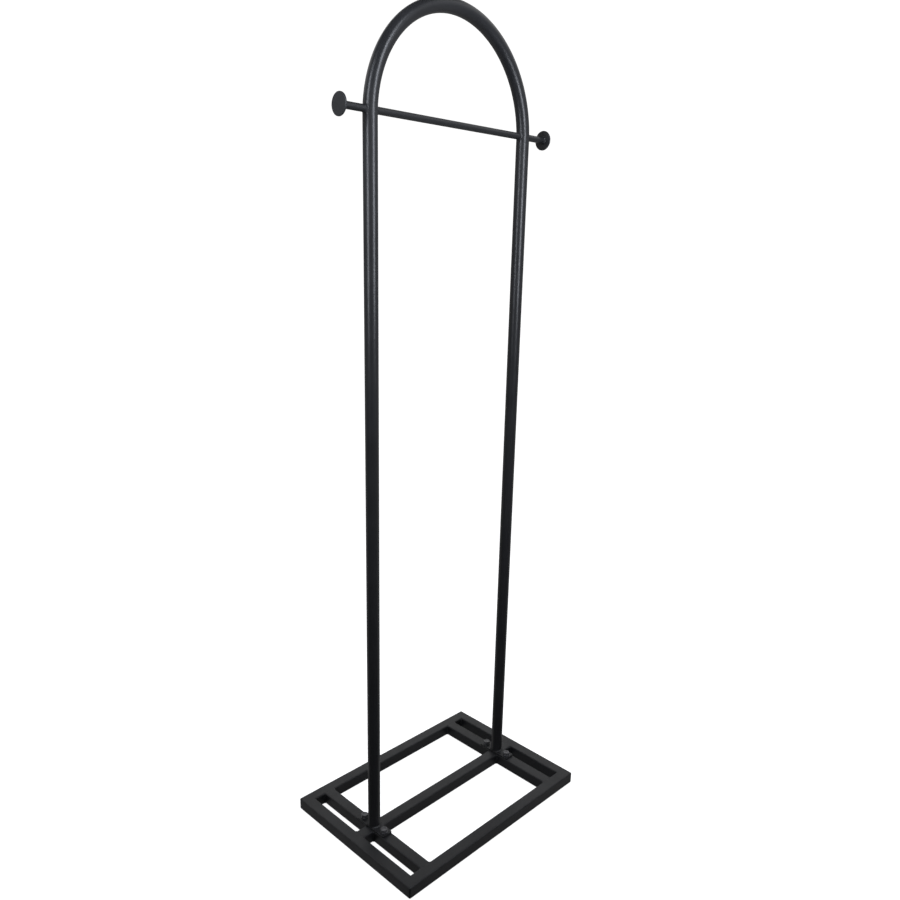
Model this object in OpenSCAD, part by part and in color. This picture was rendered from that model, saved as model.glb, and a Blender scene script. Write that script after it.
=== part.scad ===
// Valet stand: a bent tube hoop with a hanging bar, bolted to a low welded base.
// Millimetres, +Z up, X along the bar, Y from front to back.
// The origin is on the floor under the middle of the base.

/* [Stand] */
// Height from the floor to the top of the arch
stand_h = 1583; // [1300:1:2010]

/* [Hoop] */
// Outer diameter of the bent tube
leg_d = 25; // [19:0.5:32]
// Wall of the bent tube
leg_wall = 1.5; // [1:0.1:2.5]

/* [Hanging bar] */
// Diameter of the bar
bar_d = 12; // [8:0.2:16]
// Height of the bar's axis above the start of the bend
bar_rise = 7; // [-60:1:20]
// Length of each end of the bar outside its leg, with the disc
bar_end = 51; // [30:1:90]
// Gap between the bar and its holes in the legs
bar_clear = 0.1; // [0.05:0.05:0.3]

/* [Discs] */
// Diameter of the disc on each end of the bar
disc_d = 36; // [28:1:60]
// Thickness of the disc
disc_t = 3; // [2:0.1:6]
// Rounding of the disc's rim
disc_edge = 0.8; // [0.3:0.1:0.9]

/* [Base] */
// Length of the base along the bar
base_w = 506; // [440:2:700]
// Depth of the base from front to back
base_d = 354; // [300:2:560]
// Side of the square tube
rail = 25; // [20:1:32]
// Wall of the square tube
rail_wall = 1.5; // [1:0.1:2.5]
// Outside corner radius of the square tube
rail_corner = 2.5; // [1.5:0.1:4]
// Width of the slots between the end rails and the inner rails
slot_w = 25; // [16:1:50]

/* [Foot plates] */
// Length of a foot plate from front to back
foot_len = 83; // [76:1:130]
// Thickness of a foot plate
foot_t = 4; // [2:0.2:8]
// How far a foot plate shows beyond the leg on each side
foot_margin = 0; // [0:0.5:10]
// Radius of a foot plate's corners
foot_corner = 3; // [1:0.5:8]
// Distance between the front bolt and the back bolt
bolt_pitch = 62; // [56:1:90]

/* [Bolts] */
// Thread diameter of the bolts
bolt_d = 8; // [5:0.5:10]
// Length of the bolts under the head
bolt_len = 18; // [14:1:22]
// Distance across the flats of a bolt head
head_flats = 13; // [8:0.5:16]
// Height of a bolt head
head_h = 5.3; // [3:0.1:7]
// Chamfer on the top corners of a bolt head
head_chamfer = 0.6; // [0.3:0.1:1]
// Diameter of a washer
washer_d = 16; // [12:0.5:20]
// Thickness of a washer
washer_t = 1.6; // [0.8:0.1:2.5]
// Gap between a bolt and its hole in the foot plate and the washer
bolt_clear = 0.4; // [0.1:0.05:0.6]

/* [Threaded inserts] */
// How much wider an insert's sleeve is than its thread
insert_wall = 1.5; // [1:0.1:2]
// Length of an insert
insert_len = 14; // [10:1:16]
// How far an insert's upset collar reaches under the wall
collar_reach = 2; // [1:0.1:3]
// Height of the upset collar
collar_h = 2.5; // [1.5:0.1:4]
// Gap between threads that are drawn as plain cylinders
thread_clear = 0.05; // [0.02:0.01:0.1]

/* [Floor glides] */
// Diameter of a glide
glide_d = 20; // [14:1:24]
// Thickness of a glide under the rail
glide_t = 2; // [1:0.5:4]
// Diameter of a glide's stem
stem_d = 8; // [5:0.5:10]
// Length of a glide's stem
stem_len = 8; // [5:0.5:12]
// Distance from the end of a long rail to its glide
glide_inset = 50; // [45:1:90]

/* [Welds] */
// Leg of the weld beads along the joints of the base
joint_bead = 2.5; // [1.5:0.1:4]
// Leg of the weld beads in front of and behind each leg
leg_bead = 3; // [2:0.1:5]
// Leg of the weld beads around the bar
bar_bead = 1.8; // [1:0.1:2.5]
// Thickness of a round bead at its thin end
bead_edge = 0.3; // [0.2:0.1:0.6]
// How far the beads at a leg stop short of the leg's sides
bead_stop = 1; // [0.5:0.5:3]

/* [Hidden] */
$fn = 96;

// Smallest inside corner of the square tube, how far a cutting tool runs past the face
// that it cuts, and the share of a rail's round corner that weld metal fills
least_corner = 0.5;
overcut = 1;
corner_fill = 0.75;

// Sides of the stand, as multipliers of X and Y
left = -1;
right = 1;
front = -1;
back = 1;

// Colours of the finishes
coat = "#2b2c2e";
bolt_black = "#38393b";
zinc = "#9a9c9e";
nylon = "#1d1d1e";
weld_coat = "#313234";

// Heights
rail_base = glide_t;
rail_top = rail_base + rail;
foot_top = rail_top + foot_t;
head_base = foot_top + washer_t;

// Plan of the base
rail_mid_x = base_w / 2 - rail - slot_w - rail / 2;
inner_len = base_d - 2 * rail;
centre_len = 2 * rail_mid_x - rail;
slot_mid_x = base_w / 2 - rail - slot_w / 2;
rail_inner_corner = max(rail_corner - rail_wall, least_corner);
glide_x = base_w / 2 - glide_inset;
glide_y = base_d / 2 - rail / 2;

// The legs stand on the middle of the inner rails
leg_r = leg_d / 2;
arch_r = rail_mid_x;
bend_z = stand_h - leg_r - arch_r;
bar_z = bend_z + bar_rise;
bar_r = bar_d / 2;
bar_half = arch_r + leg_r + bar_end;
foot_w = leg_d + 2 * foot_margin;

// Holes
insert_d = bolt_d + 2 * insert_wall;
insert_hole_d = insert_d + 2 * thread_clear;
collar_d = insert_d + 2 * collar_reach;
bolt_hole_d = bolt_d + 2 * bolt_clear;
stem_hole_d = stem_d + 2 * thread_clear;

// Square with round corners
module rounded_square(side, radius) {
    inside = side / 2 - radius;
    square([side, 2 * inside], center = true);
    square([2 * inside, side], center = true);
    for (x = [-inside, inside], y = [-inside, inside])
        translate([x, y])
            circle(r = radius);
}

// Section of the square tube
module rail_section() {
    difference() {
        rounded_square(rail, rail_corner);
        rounded_square(rail - 2 * rail_wall, rail_inner_corner);
    }
}

// Square tube with square-cut ends, along X or along Y, centred on the origin
module rail_along_x(length) {
    rotate([90, 0, 90])
        linear_extrude(length, center = true)
            rail_section();
}

module rail_along_y(length) {
    rotate([0, 0, 90])
        rail_along_x(length);
}

// Square tube along X whose ends are mitred, with its long side at -Y
module mitred_rail(length) {
    long = length / 2;
    short = long - rail;
    half = rail / 2;
    intersection() {
        rail_along_x(length);
        linear_extrude(rail, center = true)
            polygon([[-long, -half], [long, -half], [short, half], [-short, half]]);
    }
}

// Puts a piece at the height of the rails' axes
module at_rail_axis(x = 0, y = 0) {
    translate([x, y, rail_base + rail / 2])
        children();
}

// A hole for a glide's stem in the bottom wall of a long rail
module stem_hole(side) {
    translate([side * glide_x, 0, -rail / 2 - overcut])
        cylinder(d = stem_hole_d, h = rail_wall + 2 * overcut);
}

module long_rail(depth_side) {
    color(coat)
        at_rail_axis(y = depth_side * (base_d / 2 - rail / 2))
            difference() {
                rotate([0, 0, depth_side == front ? 0 : 180])
                    mitred_rail(base_w);
                for (side = [left, right])
                    stem_hole(side);
            }
}

module end_rail(side) {
    color(coat)
        at_rail_axis(x = side * (base_w / 2 - rail / 2))
            rotate([0, 0, side * 90])
                mitred_rail(base_d);
}

// Inner rail with its two holes for the threaded inserts
module inner_rail(side) {
    color(coat)
        at_rail_axis(x = side * rail_mid_x)
            difference() {
                rail_along_y(inner_len);
                for (y = [-bolt_pitch / 2, bolt_pitch / 2])
                    translate([0, y, rail / 2 - rail_wall - overcut])
                        cylinder(d = insert_hole_d, h = rail_wall + 2 * overcut);
            }
}

module centre_rail() {
    color(coat)
        at_rail_axis()
            rail_along_x(centre_len);
}

module bridge(side) {
    color(coat)
        at_rail_axis(x = side * slot_mid_x)
            rail_along_x(slot_w);
}

// Legs and arch, swept from the section that is given as the child
module along_hoop() {
    for (side = [left, right])
        translate([side * arch_r, 0, foot_top])
            linear_extrude(bend_z - foot_top)
                children();
    translate([0, 0, bend_z])
        rotate([90, 0, 0])
            rotate_extrude(angle = 180)
                translate([arch_r, 0])
                    children();
}

// A round rod along X at the height of the bar
module rod_at_bar(radius, length) {
    translate([0, 0, bar_z])
        rotate([0, 90, 0])
            cylinder(r = radius, h = length, center = true);
}

module hoop() {
    color(coat)
        difference() {
            along_hoop()
                difference() {
                    circle(r = leg_r);
                    circle(r = leg_r - leg_wall);
                }
            rod_at_bar(bar_r + bar_clear, 2 * (arch_r + leg_d));
        }
}

module hang_bar() {
    color(coat)
        rod_at_bar(bar_r, 2 * (bar_half - disc_t));
}

// Half section of a disc, with its axis on Y and a round rim
module disc_section() {
    disc_r = disc_d / 2;
    square([disc_r - disc_edge, disc_t]);
    translate([0, disc_edge])
        square([disc_r, disc_t - 2 * disc_edge]);
    for (y = [disc_edge, disc_t - disc_edge])
        translate([disc_r - disc_edge, y])
            circle(r = disc_edge);
}

module disc(side) {
    color(coat)
        translate([side * (bar_half - disc_t), 0, bar_z])
            rotate([0, side * 90, 0])
                rotate_extrude()
                    disc_section();
}

// Plan of a foot plate, with round corners
module foot_outline() {
    inside_x = foot_w / 2 - foot_corner;
    inside_y = foot_len / 2 - foot_corner;
    square([foot_w, 2 * inside_y], center = true);
    square([2 * inside_x, foot_len], center = true);
    for (x = [-inside_x, inside_x], y = [-inside_y, inside_y])
        translate([x, y])
            circle(r = foot_corner);
}

module foot_plate(side) {
    color(coat)
        translate([side * rail_mid_x, 0, rail_top])
            linear_extrude(foot_t)
                difference() {
                    foot_outline();
                    for (y = [-bolt_pitch / 2, bolt_pitch / 2])
                        translate([0, y])
                            circle(d = bolt_hole_d);
                }
}

// Puts a fastener on the axis of one bolt
module at_bolt(side, depth_side, z) {
    translate([side * rail_mid_x, depth_side * bolt_pitch / 2, z])
        children();
}

// Hexagon bolt. A cone takes the top corners off its head, twice as wide as it is high.
module bolt(side, depth_side) {
    head_d = head_flats / cos(30);
    crown_d = head_d - 4 * head_chamfer;
    color(bolt_black)
        at_bolt(side, depth_side, head_base) {
            intersection() {
                cylinder(d = head_d, h = head_h, $fn = 6);
                union() {
                    cylinder(d = head_d + 2 * overcut, h = head_h - head_chamfer);
                    translate([0, 0, head_h - head_chamfer])
                        cylinder(d1 = head_d, d2 = crown_d, h = head_chamfer);
                }
            }
            translate([0, 0, -bolt_len])
                cylinder(d = bolt_d, h = bolt_len);
        }
}

module washer(side, depth_side) {
    color(bolt_black)
        at_bolt(side, depth_side, foot_top)
            linear_extrude(washer_t)
                difference() {
                    circle(d = washer_d);
                    circle(d = bolt_hole_d);
                }
}

// Threaded sleeve, flush with the rail's top, with its upset collar under the wall
module insert(side, depth_side) {
    color(zinc)
        at_bolt(side, depth_side, rail_top)
            difference() {
                union() {
                    translate([0, 0, -insert_len])
                        cylinder(d = insert_d, h = insert_len);
                    translate([0, 0, -rail_wall - collar_h])
                        cylinder(d = collar_d, h = collar_h);
                }
                translate([0, 0, -insert_len - overcut])
                    cylinder(d = bolt_d + 2 * thread_clear, h = insert_len + 2 * overcut);
            }
}

module glide(side, depth_side) {
    color(nylon)
        translate([side * glide_x, depth_side * glide_y, 0]) {
            cylinder(d = glide_d, h = glide_t);
            cylinder(d = stem_d, h = glide_t + stem_len);
        }
}

// Round weld bead about Z, on a rod of the given radius, thin at its top
module round_bead(radius, leg, length) {
    cylinder(r1 = radius + leg, r2 = radius + bead_edge, h = length);
}

// Two beads on a foot plate, in front of and behind the leg
module leg_weld(side) {
    bead_w = leg_d - 2 * bead_stop;
    color(weld_coat)
        translate([side * rail_mid_x, 0, foot_top])
            difference() {
                intersection() {
                    round_bead(leg_r, leg_bead, leg_bead);
                    translate([-bead_w / 2, -leg_d, 0])
                        cube([bead_w, 2 * leg_d, leg_bead]);
                }
                translate([0, 0, -overcut])
                    cylinder(r = leg_r, h = leg_bead + 2 * overcut);
            }
}

// Two beads around the bar, on the inner and the outer face of one leg
module bar_weld(side) {
    reach = bar_r + bar_bead;
    saddle = leg_r - sqrt(leg_r * leg_r - reach * reach);
    color(weld_coat)
        difference() {
            for (face = [-1, 1])
                translate([side * arch_r + face * (leg_r - saddle), 0, bar_z])
                    rotate([0, face * 90, 0])
                        round_bead(bar_r, bar_bead, saddle + bar_bead);
            rod_at_bar(bar_r, 2 * bar_half);
            along_hoop()
                circle(r = leg_r);
        }
}

// Bead around the bar on the inner face of a disc
module disc_weld(side) {
    color(weld_coat)
        difference() {
            translate([side * (bar_half - disc_t), 0, bar_z])
                rotate([0, -side * 90, 0])
                    round_bead(bar_r, bar_bead, bar_bead);
            rod_at_bar(bar_r, 2 * bar_half);
        }
}

// Upright weld bead in the corner between a face at X = 0 and a face at Y = 0
module upright_bead() {
    linear_extrude(rail - 2 * rail_corner, center = true)
        polygon([[0, 0], [joint_bead, 0], [0, joint_bead]]);
}

// Weld of one square-cut rail end against a rail's side. The face that it meets is at X = 0,
// and the rail that ends there runs towards +X. The grooves left by the round corner are
// filled flush at top and bottom, and a bead runs up each side.
module joint_weld() {
    fill = corner_fill * rail_corner;
    flat = rail - 2 * rail_corner;
    for (up = [0, 1])
        mirror([0, 0, up])
            difference() {
                translate([-fill, -flat / 2, rail / 2 - fill])
                    cube([fill, flat, fill]);
                translate([-rail_corner, 0, rail / 2 - rail_corner])
                    rotate([90, 0, 0])
                        cylinder(r = rail_corner, h = rail, center = true);
            }
    for (across = [0, 1])
        mirror([0, across, 0])
            translate([0, rail / 2, 0])
                upright_bead();
}

// Bead in the inside corner of a mitred joint. The mitre is ground flush everywhere else.
module mitre_weld(side, depth_side) {
    translate([side * (base_w / 2 - rail), depth_side * (base_d / 2 - rail), 0])
        mirror([max(side, 0), 0, 0])
            mirror([0, max(depth_side, 0), 0])
                upright_bead();
}

// All the joints on one side of the base. Each joint on the centre line is a distance from
// the middle of the base, and the way that the rail ending there runs: -1 is inwards.
module base_weld(side) {
    color(weld_coat)
        at_rail_axis() {
            for (end = [front, back]) {
                mitre_weld(side, end);
                translate([side * rail_mid_x, end * inner_len / 2, 0])
                    rotate([0, 0, -end * 90])
                        joint_weld();
            }
            for (joint = [[centre_len / 2, -1], [rail_mid_x + rail / 2, 1], [base_w / 2 - rail, -1]])
                translate([side * joint[0], 0, 0])
                    rotate([0, 0, side * joint[1] > 0 ? 0 : 180])
                        joint_weld();
        }
}

hoop();
hang_bar();
disc(left);  // left_disc
disc(right);  // right_disc
foot_plate(left);  // left_foot_plate
foot_plate(right);  // right_foot_plate
long_rail(front);  // front_rail
long_rail(back);  // back_rail
end_rail(left);  // left_end_rail
end_rail(right);  // right_end_rail
inner_rail(left);  // left_inner_rail
inner_rail(right);  // right_inner_rail
centre_rail();
bridge(left);  // left_bridge
bridge(right);  // right_bridge
bolt(left, front);  // left_front_bolt
bolt(left, back);  // left_back_bolt
bolt(right, front);  // right_front_bolt
bolt(right, back);  // right_back_bolt
washer(left, front);  // left_front_washer
washer(left, back);  // left_back_washer
washer(right, front);  // right_front_washer
washer(right, back);  // right_back_washer
insert(left, front);  // left_front_insert
insert(left, back);  // left_back_insert
insert(right, front);  // right_front_insert
insert(right, back);  // right_back_insert
glide(left, front);  // left_front_glide
glide(left, back);  // left_back_glide
glide(right, front);  // right_front_glide
glide(right, back);  // right_back_glide
leg_weld(left);  // left_leg_weld
leg_weld(right);  // right_leg_weld
bar_weld(left);  // left_bar_weld
bar_weld(right);  // right_bar_weld
disc_weld(left);  // left_disc_weld
disc_weld(right);  // right_disc_weld
base_weld(left);  // left_base_weld
base_weld(right);  // right_base_weld
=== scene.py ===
"""Black steel valet stand: a bent tube hoop with a hanging bar, bolted to a low welded base.

The sections follow the stand as it is put together: the square tube base, its welds, threaded
inserts and glides, then the hoop with its bar, discs and foot plates, the bolts that join the
two, and last the studio. Metres, Z up, X along the bar; the stand faces -Y.
"""

import bmesh
import bpy
import numpy as np
from mathutils import Matrix, Vector


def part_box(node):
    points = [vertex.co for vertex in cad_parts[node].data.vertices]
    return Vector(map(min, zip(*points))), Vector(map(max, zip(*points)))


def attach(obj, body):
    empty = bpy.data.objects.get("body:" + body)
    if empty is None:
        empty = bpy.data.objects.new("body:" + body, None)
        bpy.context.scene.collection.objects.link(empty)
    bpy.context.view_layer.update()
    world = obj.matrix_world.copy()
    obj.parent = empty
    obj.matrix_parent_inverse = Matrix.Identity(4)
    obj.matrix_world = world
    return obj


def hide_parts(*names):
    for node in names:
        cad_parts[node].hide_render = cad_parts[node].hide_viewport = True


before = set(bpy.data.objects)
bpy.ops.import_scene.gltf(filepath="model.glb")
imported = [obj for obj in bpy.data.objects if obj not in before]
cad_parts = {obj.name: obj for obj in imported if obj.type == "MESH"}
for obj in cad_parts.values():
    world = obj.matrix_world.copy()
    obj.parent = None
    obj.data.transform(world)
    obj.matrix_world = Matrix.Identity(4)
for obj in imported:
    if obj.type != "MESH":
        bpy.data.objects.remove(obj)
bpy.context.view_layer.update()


# ------------------------------------------------------------------------------------------
# Mitred rails. Four lengths of 25 mm square steel tube, cut at 45 degrees, butt-welded into a
# flat rectangle, ground flush and powder-coated satin black. The two long ones have a hole
# near each end of the underside for the stem of a floor glide.

RAIL_WALL = 0.0015
RAIL_CORNER = 0.0025  # outside radius along the edges of the tube
GROUND_CORNER = 0.0032  # radius that grinding leaves on the frame's four upright corners
CORNER_STEPS = 8  # quads round a tube edge
FLAT_STEPS = 8  # quads across a flat side
MITRE_STEPS = 5  # quads round half an upright corner
MITRE_FAN = 0.1  # how much further the first of them leans than the 45 degree cut
HOLE_RINGS = 3
GLIDE_HOLE = 0.00405  # radius
SHARP = np.radians(35)  # edges sharper than this keep a crease
MERGE = 2e-6  # points closer than this are one

COAT_DARK = (0.0205, 0.0212, 0.0232, 1)
COAT_LIGHT = (0.0285, 0.0293, 0.0318, 1)
COAT_THIN = (0.060, 0.061, 0.065, 1)  # where the powder drew back from an edge
# Lumps to the metre in each layer of noise
RUB_PATCHES, CLOUDS, GLOSS_PATCHES = 90, 14, 35
PEEL_WAVES, FINE_GRAIN = 480, 2300


def node(tree, kind, **inputs):
    """Adds a shader node. Each input is a plain value, or a socket that is linked to it."""
    added = tree.nodes.new(kind)
    for name, value in inputs.items():
        socket = added.inputs[name.replace("_", " ")]
        if isinstance(value, bpy.types.NodeSocket):
            tree.links.new(value, socket)
        else:
            socket.default_value = value
    return added


def noise(tree, scale, detail=2.0, roughness=0.5):
    """Noise over the stand's own coordinates, with `scale` lumps to the metre."""
    place = node(tree, "ShaderNodeTexCoord").outputs["Object"]
    return node(tree, "ShaderNodeTexNoise", Vector=place, Scale=scale, Detail=detail,
                Roughness=roughness).outputs["Fac"]


def spread(tree, value, low, high, narrow=0.3):
    """Stretches the middle of a noise from low to high."""
    return node(tree, "ShaderNodeMapRange", Value=value, From_Min=narrow, From_Max=1 - narrow,
                To_Min=low, To_Max=high).outputs["Result"]


def blend(tree, share, first, second):
    """Mixes two colours by a share."""
    mix = tree.nodes.new("ShaderNodeMix")
    mix.data_type = "RGBA"
    for socket, value in zip((mix.inputs[0], mix.inputs[6], mix.inputs[7]), (share, first, second)):
        if isinstance(value, bpy.types.NodeSocket):
            tree.links.new(value, socket)
        else:
            socket.default_value = value
    return mix.outputs[2]


def product(tree, first, second):
    """Multiplies two values."""
    times = tree.nodes.new("ShaderNodeMath")
    times.operation = "MULTIPLY"
    for socket, value in zip(times.inputs, (first, second)):
        if isinstance(value, bpy.types.NodeSocket):
            tree.links.new(value, socket)
        else:
            socket.default_value = value
    return times.outputs[0]


def bumps(tree, *layers):
    """A normal from layers of bumps, each a height socket and how far its peaks stand out."""
    normal = None
    for height, distance in layers:
        bump = node(tree, "ShaderNodeBump", Height=height, Distance=distance, Strength=1.0)
        if normal is not None:
            tree.links.new(normal, bump.inputs["Normal"])
        normal = bump.outputs["Normal"]
    return normal


def powder_coat(name, peel=0.000022, grain=0.000006, gloss=(0.37, 0.45)):
    """Satin powder coat: a soft orange peel of 2 mm waves, a fine grain of half a millimetre,
    faint clouds in its black and its gloss, and a thinner, paler film on rubbed edges."""
    coat = bpy.data.materials.new(name)
    coat.use_nodes = True
    tree = coat.node_tree
    shader = tree.nodes["Principled BSDF"]
    rub = node(tree, "ShaderNodeAttribute")
    rub.attribute_name = "rub"
    thin = product(tree, rub.outputs["Fac"], spread(tree, noise(tree, RUB_PATCHES), 0.0, 0.6))
    cloud = blend(tree, spread(tree, noise(tree, CLOUDS, 4), 0.0, 1.0), COAT_DARK, COAT_LIGHT)
    tree.links.new(blend(tree, thin, cloud, COAT_THIN), shader.inputs["Base Color"])
    tree.links.new(spread(tree, noise(tree, GLOSS_PATCHES, 5), *gloss), shader.inputs["Roughness"])
    shader.inputs["IOR"].default_value = 1.5
    waves, fine = noise(tree, PEEL_WAVES, 2), noise(tree, FINE_GRAIN, 3)
    tree.links.new(bumps(tree, (waves, peel), (fine, grain)), shader.inputs["Normal"])
    return coat


def skin(points, wrap_rows=False, wrap_columns=False, keep=None, rub=0.0):
    """One patch of a piece's surface: quads between neighbouring points of a grid of rows and
    columns. A wrapped grid also joins its last row or column to its first, `keep` marks the
    quads that stay, and `rub` says how thin the coat is at each point."""
    index = np.arange(points.shape[0] * points.shape[1]).reshape(points.shape[:2])
    if wrap_rows:
        index = np.vstack([index, index[:1]])
    if wrap_columns:
        index = np.hstack([index, index[:, :1]])
    quads = np.stack([index[:-1, :-1], index[:-1, 1:], index[1:, 1:], index[1:, :-1]], axis=-1)
    quads = quads.reshape(-1, 4) if keep is None else quads[keep]
    return points.reshape(-1, 3), quads, np.broadcast_to(rub, points.shape[:2]).ravel()


def moved(patches, quarter_turns, place):
    """Turns patches about Z by quarter turns, then moves them."""
    cos, sin = ((1, 0), (0, 1), (-1, 0), (0, -1))[quarter_turns % 4]
    turn = np.array([[cos, sin, 0], [-sin, cos, 0], [0, 0, 1]])
    return [(points @ turn + place, quads, rub) for points, quads, rub in patches]


def made(name, patches, finish, slot, *nodes):
    """Makes one piece from its patches. Points that meet are merged, so that the skin is
    closed, and its faces are turned outwards. The piece stands for its CAD nodes."""
    starts = np.cumsum([0] + [len(points) for points, _, _ in patches])
    points = np.concatenate([points for points, _, _ in patches])
    quads = np.concatenate([quads + start for (_, quads, _), start in zip(patches, starts)])
    mesh = bpy.data.meshes.new(name)
    mesh.from_pydata(points.tolist(), [], quads.tolist())
    rub = np.concatenate([rub for _, _, rub in patches]).astype(np.float32)
    mesh.attributes.new("rub", "FLOAT", "POINT").data.foreach_set("value", rub)
    shell = bmesh.new()
    shell.from_mesh(mesh)
    bmesh.ops.remove_doubles(shell, verts=shell.verts, dist=MERGE)
    bmesh.ops.recalc_face_normals(shell, faces=shell.faces)
    shell.to_mesh(mesh)
    shell.free()
    mesh.materials.append(finish)
    mesh.shade_smooth()
    mesh.set_sharp_from_angle(angle=SHARP)
    piece = bpy.data.objects.new(name, mesh)
    bpy.context.scene.collection.objects.link(piece)
    piece.modifiers.new("flats_stay_flat", "WEIGHTED_NORMAL").keep_sharp = True
    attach(piece, "root")
    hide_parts(*nodes)


def rounded_square(side, corner, corner_steps=CORNER_STEPS, flat_steps=FLAT_STEPS):
    """Outline of a square with round corners, as (across, up) points: a quarter circle and
    the flat after it, turned four times. Also says how rubbed each point is, which is the
    sine of twice its turn round the corner."""
    reach = side / 2 - corner
    turn = np.linspace(0, np.pi / 2, corner_steps + 1)
    arc = reach + corner * np.stack([np.cos(turn), np.sin(turn)], axis=1)
    along = np.linspace(reach, -reach, flat_steps + 1)[1:-1]
    quarter = np.concatenate([arc, np.stack([along, np.full_like(along, side / 2)], axis=1)])
    turns = [np.array([[cos, sin], [-sin, cos]]) for cos, sin in ((1, 0), (0, 1), (-1, 0), (0, -1))]
    rub = np.concatenate([np.sin(2 * turn), 0 * along])
    return np.concatenate([quarter @ turn for turn in turns]), np.tile(rub, 4)


def around(grid, row, column, rows, columns):
    """The points on the edge of one block of a grid's quads, in order round it."""
    block = grid[row:row + rows + 1, column:column + columns + 1]
    return np.concatenate([block[0, :-1], block[:-1, -1], block[-1, :0:-1], block[:0:-1, 0]])


def ring(edge, axes, centre, radius, lift):
    """A patch from a closed edge in to a round hole. Seen along the hole, each edge point
    goes straight towards the hole's centre and stops on its rim; `lift` gives the third
    coordinate that puts those points back on the surface."""
    flat = edge[:, axes]
    turn = np.arctan2(flat[:, 1] - centre[1], flat[:, 0] - centre[0])
    rim = np.asarray(centre) + radius * np.stack([np.cos(turn), np.sin(turn)], axis=1)
    share = np.linspace(0, 1, HOLE_RINGS + 1)[:, None, None]
    points = np.empty((HOLE_RINGS + 1, len(edge), 3))
    points[..., axes] = flat + share * (rim - flat)
    points[..., 3 - sum(axes)] = lift(points[..., axes])
    points[0] = edge
    return points


def rail_wall(section, stations, turns, leans, side, ground):
    """Carries a tube's section along X. Each station is an upright plane. The part of the
    section outside the axis of the ground corner is turned about that axis, and the rest is
    straight and runs back along X by its depth past the axis times the station's lean."""
    depth = section[None, :, 0] + side / 2 - ground
    turns = turns[:, None]
    x = stations[:, None] - np.where(depth < 0, depth * np.sin(turns), depth * leans[:, None])
    y = ground - side / 2 + np.where(depth < 0, depth * np.cos(turns), depth)
    return np.stack([x, y, np.broadcast_to(section[:, 1], x.shape)], axis=-1)


def rail(node_name, quarter_turns, mitred=False, holes=(), hole_radius=0.0, top=True):
    """A length of square tube about its CAD node's place: its outer and inner walls, its two
    cut ends and the holes through its top or bottom wall."""
    low, high = (np.array(corner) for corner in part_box(node_name))
    length, side = (high - low)[quarter_turns % 2], (high - low)[2]
    ground = GROUND_CORNER if mitred else 0.0
    end = length / 2 - ground
    reach = side / 2 - RAIL_CORNER
    mitre = np.linspace(0, np.pi / 4, MITRE_STEPS + 1)[1:] if mitred else np.empty(0)
    blocks = [x + np.linspace(-reach, reach, FLAT_STEPS + 1) for x in sorted(holes)]
    straight = np.concatenate([[-end], *blocks, [end]])
    turns = np.concatenate([-mitre[::-1], 0 * straight, mitre])
    stations = np.concatenate([0 * mitre - end, straight, 0 * mitre + end])
    at_mitre = mitred * (np.abs(stations) >= end) * np.sign(stations)
    leans = at_mitre * (1 + MITRE_FAN * (1 - np.abs(turns) / (np.pi / 4)))
    column = CORNER_STEPS + (0 if top else 2 * (CORNER_STEPS + FLAT_STEPS))
    first_row = len(mitre) + 1

    walls, patches, rims = [], [], []
    for inset in (0.0, RAIL_WALL):
        section, rub = rounded_square(side - 2 * inset, RAIL_CORNER - inset)
        wall = rail_wall(section, stations, turns, leans, side, ground)
        keep = np.ones((len(stations) - 1, len(section)), bool)
        height = (side / 2 - inset) * (1 if top else -1)
        for number, x in enumerate(sorted(holes)):
            row = first_row + number * (FLAT_STEPS + 1)
            keep[row:row + FLAT_STEPS, column:column + FLAT_STEPS] = False
            edge = around(wall, row, column, FLAT_STEPS, FLAT_STEPS)
            hole = ring(edge, [0, 1], (x, 0), hole_radius, lambda flat: height)
            patches.append(skin(hole, wrap_columns=True))
            rims.append(hole[-1])
        patches.append(skin(wall, wrap_columns=True, keep=keep, rub=rub))
        walls.append(wall)
    for row in (0, -1):
        patches.append(skin(np.stack([wall[row] for wall in walls]), wrap_columns=True))
    for outer, inner in zip(rims[:len(holes)], rims[len(holes):]):
        patches.append(skin(np.stack([outer, inner]), wrap_columns=True))
    return moved(patches, quarter_turns, (low + high) / 2)


def middle(node_name):
    """Centre of a CAD node's box."""
    low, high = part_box(node_name)
    return (np.array(low) + np.array(high)) / 2


black_coat = powder_coat("satin_black_powder_coat")
glide_xs = [middle(f"{side}_front_glide")[0] for side in ("left", "right")]
for place, turns, holes in (("front", 0, glide_xs), ("right_end", 1, ()), ("back", 2, glide_xs),
                            ("left_end", 3, ())):
    tube = rail(f"{place}_rail", turns, mitred=True, holes=holes, hole_radius=GLIDE_HOLE, top=False)
    made(f"{place}_rail_tube", tube, black_coat, "black_powder_coat", f"{place}_rail")


# ------------------------------------------------------------------------------------------
# Inner rails, centre rail and bridges. The same square tube cut square: two lengths from
# front to back, one between them, and two short ones that tie them to the end rails. Each
# inner rail is drilled twice on top for the threaded inserts.

INSERT_HOLE = 0.00555  # radius

for side in ("left", "right"):
    ys = [middle(f"{side}_{end}_insert")[1] for end in ("front", "back")]
    tube = rail(f"{side}_inner_rail", 1, holes=ys, hole_radius=INSERT_HOLE)
    made(f"{side}_inner_rail_tube", tube, black_coat, "black_powder_coat", f"{side}_inner_rail")
    made(f"{side}_bridge_tube", rail(f"{side}_bridge", 0), black_coat, "black_powder_coat",
         f"{side}_bridge")
made("centre_rail_tube", rail("centre_rail", 0), black_coat, "black_powder_coat", "centre_rail")


# ------------------------------------------------------------------------------------------
# Welds of the base. A bead runs right round each square-cut rail end: a rippled fillet up
# its two sides, ground flush over the top and the underside, where it fills the groove along
# the round edge of the other tube. The mitres keep a fillet in their inside corners.

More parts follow.
